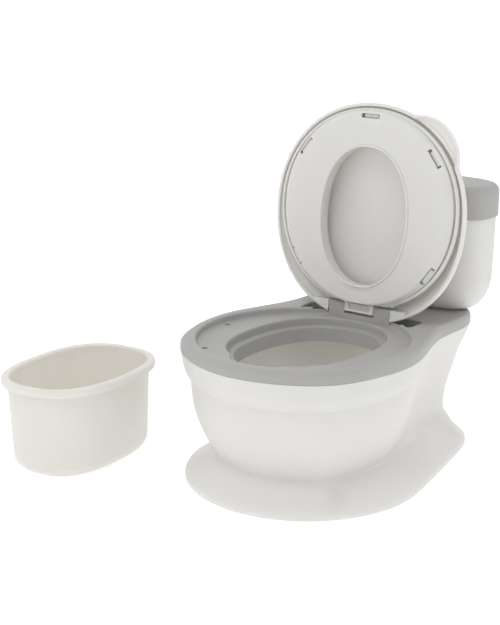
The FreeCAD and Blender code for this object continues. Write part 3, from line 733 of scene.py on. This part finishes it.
def tank_housing():
    waist_x, waist_y = TANK_X - 1.4, TANK_Y - 0.7
    outer = rounded_foot(tank_ring, waist_x, waist_y, (28.4, 18.5, 48.0), DECK_TOP + SKIN)
    inner = rounded_foot(tank_ring, waist_x - WALL, waist_y - WALL, (28.4, 18.5, 48.0 - WALL),
                         DECK_TOP + WALL)
    neck_x, neck_y = CAP_X - WALL - 0.4, CAP_Y - WALL - 0.4
    corners = [(outer[-1], 0), (tank_ring(TANK_X, TANK_Y, SHOULDER_Z), 0.9),
               (tank_ring(neck_x, neck_y, SHOULDER_Z), 0.3), (tank_ring(neck_x, neck_y, NECK_Z), 0.7),
               (tank_ring(neck_x - 2, neck_y - 2, NECK_Z), 0.7),
               (tank_ring(neck_x - 2, neck_y - 2, SHOULDER_Z - 5), 0.6), (inner[-1], 0)]
    top = rounded(corners)
    parts = [loft("tank_skin", outer + top[1:-1] + inner[::-1], ends=True)]
    radius, low, high = SPIGOT_RADIUS, TANK_LOW + 0.1, DECK_TOP + 1.5
    for x, y in SPIGOTS:
        parts.append(lathe("spigot", [(radius - WALL, low), (radius - 1, low), (radius, low + 1.3),
                                      (radius, high), (radius - WALL, high)], x, y))
    return joined("tank_housing", parts)


def cap_moulding():
    x, y = CAP_X - SKIN, CAP_Y - SKIN
    top, low, stop = cap_high[2] - SKIN, cap_low[2], NECK_Z + 0.1
    corners = [(tank_ring(x * 0.02, y * 0.02, top), 0), (tank_ring(x * 0.5, y * 0.5, top), 0),
               (tank_ring(x, y, top), 10.0), (tank_ring(x, y, low), 0.9),
               (tank_ring(x - WALL, y - WALL, low), 0.7), (tank_ring(x - WALL, y - WALL, stop), 0.5),
               (tank_ring(x - 5.5, y - 5.5, stop), 0.5), (tank_ring(x - 5.5, y - 5.5, top - WALL), 6.0),
               (tank_ring(x * 0.5, y * 0.5, top - WALL), 0),
               (tank_ring(x * 0.02, y * 0.02, top - WALL), 0)]
    return loft("cap_moulding", rounded(corners, 9), ends=True)


finished(tank_housing(), WHITE, "tank", "white_plastic", "tank_shell")
finished(cap_moulding(), GREY, "cap", "grey_plastic", "tank_cap")

# ------------------------------------------------------------------ lid and ring, made shut
# The frame of these pieces lies on the hinge line: -Y forwards, Z up; OPENED swings them up.
OPEN_ANGLE = 95.65
OPENED = (Matrix.Translation(Vector((0, HINGE_Y, HINGE_Z)) * MM)
          @ Matrix.Rotation(math.radians(-OPEN_ANGLE), 4, "X"))
RIM_Z = -6.0
RIM_LOW = RIM_Z + SKIN
LID_X, LID_TIP, LID_TAIL = 132.0, 129.3, 131.8  # half width, and length from the middle to each end
TIP_POWER, TAIL_POWER = 2.08, 2.2
LID_REACH = 116.0
LID_CROWN = 19.5
# share of the way from the lid's middle to its edge, and depth below the crown
LID_DISH = open_spline([(0.01, 0.0), (0.2, 0.2), (0.45, 1.1), (0.72, 4.0), (0.9, 9.5),
                        (0.975, 15.5), (1.0, 22.0)], 34)
EAR_X, EAR_Y, EAR_R = 65.0, -184.0, 52.0
EAR_COLUMNS = 96
NOTCH_X = 44.4
KNUCKLE = 6.0
BORE = 2.55


def hinge_bore(x_low, x_high):
    turn = 2 * np.pi * np.arange(32) / 32
    return bar("bore", np.column_stack([BORE * np.cos(turn), BORE * np.sin(turn)]), x_low, x_high,
               0.01)


def egg(inset, z, share=1.0):
    """The lid's outline: its tip half is blunter than its hinge half."""
    tip = OVAL_SIN < 0
    oval = superellipse(LID_X - inset, np.where(tip, LID_TIP, LID_TAIL) - inset,
                        np.where(tip, TIP_POWER, TAIL_POWER))
    return at_height(oval * share + (0, -LID_REACH), z)


def lid_outside():
    return [egg(0, LID_CROWN - depth, share) for share, depth in LID_DISH]


def lid_skin():
    corners = [(ring, 0) for ring in lid_outside()]
    corners += [(egg(0, RIM_LOW), 1.4), (egg(3.8, RIM_LOW), 1.4), (egg(3.8, -3.2), 0.8)]
    corners += [(egg(WALL, LID_CROWN - WALL - depth, share), 0) for share, depth in LID_DISH[-2::-1]]
    skin = loft("lid_skin", rounded(corners, 6), ends=True)
    clear = lathe("ear_clear", [(EAR_R - 3.4, RIM_Z - 3), (EAR_R - 3.4, RIM_Z + 1.2),
                                (EAR_R - 8, RIM_Z + 4.0)], EAR_X, EAR_Y, EAR_COLUMNS)
    notch = block("notch", (-NOTCH_X, -KNUCKLE - 2, BELOW), (NOTCH_X, ABOVE, ABOVE), 1.0, 0.5)
    tail = block("tail", (-200, 10.5, BELOW), (200, 80, ABOVE), 1.0, 0.5)
    return cut(skin, [clear, notch, tail])


def lid_ear():
    """The ear at the tip corner: a shallow pan that opens into the lid."""
    r, z = EAR_R, RIM_Z
    top = z + 9.0
    profile = [(r * 0.3, top), (r - 5, top), (r - 2.6, top - 0.6), (r - 1, top - 1.9),
               (r - 0.1, top - 4), (r, z + 1.2), (r - 0.4, z + 0.4), (r - 1.2, z + SKIN),
               (r - 2.0, z + 0.5), (r - 3.2, z + 1.8), (r - 6, z + 3.6), (r - 11, z + 5.2),
               (r - 18, z + 6.2), (r * 0.3, z + 6.5)]
    pan = lathe("ear", profile, EAR_X, EAR_Y, EAR_COLUMNS)
    return cut(pan, [loft("inside_lid", [egg(1.3, z - 3), egg(1.3, LID_CROWN)], ends=True)])


def lid_knuckle(side):
    """The block round the end of a hinge pin, and the cheek in front of it."""
    low, high = sorted((side * NOTCH_X, side * (NOTCH_X + 20.0)))
    outline = [(-4.5, RIM_LOW), (10.3, RIM_LOW), (10.4, 2.5), (8.0, KNUCKLE), (-4.5, KNUCKLE)]
    knuckle = bar("knuckle", outline, low, high, 0.6)
    whole = loft("whole_lid", [*lid_outside(), egg(0.6, RIM_Z + 0.3)], ends=True)
    cut(knuckle, [whole], "INTERSECT")
    cut(knuckle, [hinge_bore(low - 2, high + 2)])
    low, high = sorted((side * NOTCH_X, side * (NOTCH_X + WALL)))
    cheek = bar("cheek", [(-8.0, RIM_Z + 0.1), (-8.0, 12.0), (-14.0, 14.0), (-20.0, RIM_Z + 3)],
                low, high, 0.5)
    return [knuckle, cheek]


def gate_mark():
    """The mark that moulding leaves in the middle of the lid's inside."""
    inner = LID_CROWN - WALL
    return lathe("gate", [(0.3, inner + 0.6), (1.6, inner + 0.6), (1.6, inner - 0.5),
                          (1.0, inner - 0.8), (0.3, inner - 0.8)], 0.0, -LID_REACH, 20)


def lid_cover():
    back_wall = block("back_wall", (-NOTCH_X - 1, -10.5, 6.6), (NOTCH_X + 1, -8.0, 14.0), 0.8, 0.6)
    return moved(joined("lid_cover", [lid_skin(), lid_ear(), *lid_knuckle(1), *lid_knuckle(-1),
                                      back_wall, gate_mark()]), OPENED)


RING_POWER = 2.06
HOLE_POWER = 2.15
RING_REACH = 120.5
HOLE_REACH = 111.4
LIP_X, LIP_Y = 124.5, 119.1
HOLE_X, HOLE_Y = 59.5, 82.6
SEAT_TOP_Z = 5.0
SEAT_SKIN_Z = SEAT_TOP_Z - SKIN
PLATE_Z = -13.2
PLATE_LOW = PLATE_Z + SKIN
HOLE_Z = -14.6
TAB_X = 20.6
TAB_KNUCKLE = 5.4
# distance from the middle line and from the hinge, and the way each snap window runs
WINDOWS = [(0.0, 230.2, 0), (89.4, 188.0, 52), (-89.4, 188.0, -52), (92.4, 53.0, -54),
           (-92.4, 53.0, 54)]


def ring_oval(half_x, half_y, z):
    return at_height(superellipse(half_x, half_y, RING_POWER) + (0, -RING_REACH), z)


def hole_oval(grow, z):
    return at_height(superellipse(HOLE_X + grow, HOLE_Y + grow, HOLE_POWER) + (0, -HOLE_REACH), z)


def lip(inset_x, inset_y, z):
    return ring_oval(LIP_X - inset_x, LIP_Y - inset_y, z)


def hinge_gap(name, low, high, near, floor=BELOW, corner=0.5, edge=0.3):
    """A cutter at the hinge end of the ring, between two places along X."""
    return block(name, (low, near, floor), (high, ABOVE, -BELOW), corner, edge)


def lug_gaps():
    return [hinge_gap("gap", low, high, -KNUCKLE - 1.8, corner=1.0, edge=0.5)
            for low, high in ((TAB_X, 92), (-92, -TAB_X))]


def hinge_tab():
    """A framed panel with the knuckle along its lower edge."""
    arc = [(TAB_KNUCKLE * math.cos(t), TAB_KNUCKLE * math.sin(t)) for t in np.linspace(0, np.pi / 2, 9)]
    outline = [(-19.0, RIM_LOW), (TAB_KNUCKLE, RIM_LOW), *arc, (-6.0, SEAT_TOP_Z - 0.1),
               (-17.5, SEAT_TOP_Z - 0.1), (-19.0, 3.0)]
    tab = bar("tab", outline, -TAB_X + 0.02, TAB_X - 0.02, 0.7)
    panel = []
    for z, grow in ((-8.0, 1.3), (RIM_Z, 1.3), (RIM_Z + 0.4, 0.4), (RIM_Z + 2.2, 0.0)):
        panel.append(at_height(rounded_rectangle(14.8 + grow, 7.4 + grow, 1.6 + grow)
                               + (0, -5.0), z))
    return cut(tab, [loft("panel", panel, ends=True), hinge_bore(-TAB_X - 1, -5.0),
                     hinge_bore(5.0, TAB_X + 1)])


def seat_ring_top():
    domed = [(0.2, -4.4), (0.9, -2.4), (2.4, -0.4), (5.0, 1.5), (8.0, 2.9), (13, 4.1), (18, 4.7),
             (26, SEAT_SKIN_Z)]
    corners = [(lip(4.2, 3.6, -7.2), 0.9), (lip(1.6, 1.6, -7.4), 1.4), (lip(SKIN, SKIN, -5.4), 1.6)]
    corners += [(lip(inset, inset, z), 0) for inset, z in domed]
    corners += [(hole_oval(10, SEAT_SKIN_Z), 0), (hole_oval(0.4, SEAT_SKIN_Z), 6.0),
                (hole_oval(0, HOLE_Z), 1.2), (hole_oval(2.6, HOLE_Z), 1.2),
                (hole_oval(2.5, 2.4), 1.0), (lip(27, 27, 2.4), 0), (lip(12, 12, 0.9), 1.0),
                (lip(8.0, 7.0, -1.4), 1.0), (lip(4.2, 3.6, -2.2), 0.8)]
    skin = loft("ring_skin", rounded(corners, 5))
    cut(skin, [*lug_gaps(), hinge_gap("tab_room", -TAB_X, TAB_X, -5.0)])

    parts = [skin, hinge_tab()]
    for x, reach, turn in WINDOWS:
        hook = block("hook", (-9.6, -2.0, PLATE_Z + 3.6), (9.6, 2.2, 3.0), 0.5, 0.4)
        parts.append(turned_to(hook, x, -reach, turn))
    return moved(joined("seat_ring_top", parts), OPENED)


def snap_window(x, reach, turn):
    window = []
    for z, grow in ((-20.0, 0.9), (PLATE_Z, 0.9), (PLATE_Z + 0.35, 0.25), (PLATE_Z + 0.9, 0.0),
                    (PLATE_Z + 6, 0.0)):
        window.append(at_height(rounded_rectangle(12.5 + grow, 2.5 + grow, 0.7 + grow), z))
    return turned_to(loft("window", window, ends=True), x, -reach, turn)


def seat_ring_base():
    corners = [(hole_oval(2.7, PLATE_Z + WALL), 0.6), (hole_oval(2.7, PLATE_Z), 0.6),
               (hole_oval(8.0, PLATE_Z + 0.1), 0), (ring_oval(96.0, 98.8, PLATE_LOW), 0),
               (ring_oval(111.0, 113.8, PLATE_LOW), 3.4), (ring_oval(117.6, 116.4, -7.6), 1.6),
               (ring_oval(118.0, 116.6, -2.4), 0.6), (ring_oval(115.6, 114.2, -2.4), 0.6),
               (ring_oval(115.2, 113.9, -6.6), 1.0), (ring_oval(109.0, 111.4, PLATE_Z + WALL), 2.0)]
    skin = loft("seat_ring_base", rounded(corners, 6))
    cut(skin, [*lug_gaps(), hinge_gap("tab_gap", -TAB_X, TAB_X, -19.4, floor=-5.8),
               hinge_gap("tab_gap", -TAB_X - 1, TAB_X + 1, -7.2),
               *[snap_window(*window) for window in WINDOWS]])
    return moved(skin, OPENED)


finished(lid_cover(), WHITE, "lid", "white_plastic", "lid")
finished(seat_ring_top(), WHITE, "seat", "white_plastic", "seat_top")
finished(seat_ring_base(), WHITE, "seat", "white_plastic", "seat_base")


# ------------------------------------------------------------------ pot
POT_POWER = 2.55
POT_YAW = 5.5
FOOT_X, FOOT_Y, FOOT_CORNER = 63.0, 90.0, 15.0
BODY_X, BODY_Y = 67.0, 93.5
ROLL_X, ROLL_Y, ROLL_DEEP = 74.1, 99.8, 9.3
pot_low, pot_high = box_mm("pot")


def pot_ring(half_x, half_y, z):
    return at_height(superellipse(half_x, half_y, POT_POWER), z)


def removable_pot():
    """A tapering tub whose rim rolls over and hangs down outside the wall."""
    top = pot_high[2] - SKIN
    low, under = top - ROLL_DEEP, top - 4.2
    outer = rounded_foot(pot_ring, FOOT_X, FOOT_Y, [FOOT_CORNER] * 3, SKIN)
    inner = rounded_foot(pot_ring, FOOT_X - WALL, FOOT_Y - WALL, [FOOT_CORNER - WALL] * 3, WALL)
    corners = [(outer[-1], 0), (pot_ring(BODY_X, BODY_Y, under), 1.2),
               (pot_ring(ROLL_X - WALL, ROLL_Y - WALL, under), 1.2),
               (pot_ring(ROLL_X - WALL, ROLL_Y - WALL, low), 0.9), (pot_ring(ROLL_X, ROLL_Y, low), 1.1),
               (pot_ring(ROLL_X, ROLL_Y, top), 4.4),
               (pot_ring(BODY_X - WALL - 0.4, BODY_Y - WALL - 0.4, top), 3.4), (inner[-1], 0)]
    rim = rounded(corners, 7)
    pot = loft("removable_pot", outer + rim[1:-1] + inner[::-1], ends=True)
    x, y = (pot_low[:2] + pot_high[:2]) / 2
    return turned_to(pot, x, y, POT_YAW)


finished(removable_pot(), POT_WHITE, "pot", "pot_plastic", "pot")

# ------------------------------------------------------------------ small parts kept from the CAD
for name, material in [(pad, RUBBER) for pad in PADS] + [
        ("hinge_pin_right", STEEL), ("hinge_pin_left", STEEL), ("deck_screws", STEEL)]:
    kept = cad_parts[name]
    kept.data.materials.clear()
    kept.data.materials.append(material)

# ------------------------------------------------------------------ floor, light, camera
FLOOR_SIZE = 40.0
UNDER_FEET = -0.0004
LENS = 73.37
CAMERA_DOWN, CAMERA_ROUND = 15.234, 38.156


def pale_floor():
    b = bmesh.new()
    bmesh.ops.create_grid(b, x_segments=8, y_segments=8, size=FLOOR_SIZE)
    mesh = bpy.data.meshes.new("floor")
    b.to_mesh(mesh)
    b.free()
    paint, tree = blank("pale_floor")
    surface = node(tree, "ShaderNodeBsdfPrincipled", Roughness=0.9)
    surface.inputs["Base Color"].default_value = (0.9, 0.9, 0.9, 1)
    surface.inputs["Emission Color"].default_value = (1, 1, 1, 1)
    surface.inputs["Emission Strength"].default_value = 0.40
    node(tree, "ShaderNodeOutputMaterial", Surface=surface.outputs["BSDF"])
    mesh.materials.append(paint)
    floor = linked("floor", mesh)
    floor.location.z = UNDER_FEET
    return floor


def studio_world():
    """White all round, a little darker in front."""
    world = bpy.data.worlds.new("studio")
    scene.world = world
    world.use_nodes = True
    tree = world.node_tree
    backdrop = tree.nodes["Background"]
    backdrop.inputs["Color"].default_value = (1, 1, 1, 1)
    where = node(tree, "ShaderNodeTexCoord").outputs["Generated"]
    facing = node(tree, "ShaderNodeVectorMath", [("operation", "DOT_PRODUCT")], _0=where,
                  _1=(0.56, -0.80, 0.2))
    level = mapped(tree, facing.outputs["Value"],
                   {"From Min": 0.1, "From Max": 1.0, "To Min": 1.0, "To Max": 0.50}, "SMOOTHSTEP")
    tree.links.new(level, backdrop.inputs["Strength"])


def area_light(name, place, aim, size, power):
    data = bpy.data.lights.new(name, "AREA")
    data.shape = "SQUARE"
    data.size = size
    data.energy = power
    lamp = linked(name, data)
    lamp.location = place
    lamp.rotation_euler = (Vector(aim) - Vector(place)).to_track_quat("-Z", "Y").to_euler()


floor = pale_floor()
studio_world()
area_light("overhead", place=(0.3, -1.3, 2.3), aim=(0, -0.1, 0.1), size=1.2, power=12.0)

camera = linked("camera", bpy.data.cameras.new("camera"))
camera.data.lens = LENS
camera.data.sensor_width = 36.0
camera.location = (0.8148, -1.1941, 0.5760)
camera.rotation_euler = (math.radians(90 - CAMERA_DOWN), 0, math.radians(CAMERA_ROUND))
scene.camera = camera
scene.view_settings.view_transform = "Standard"
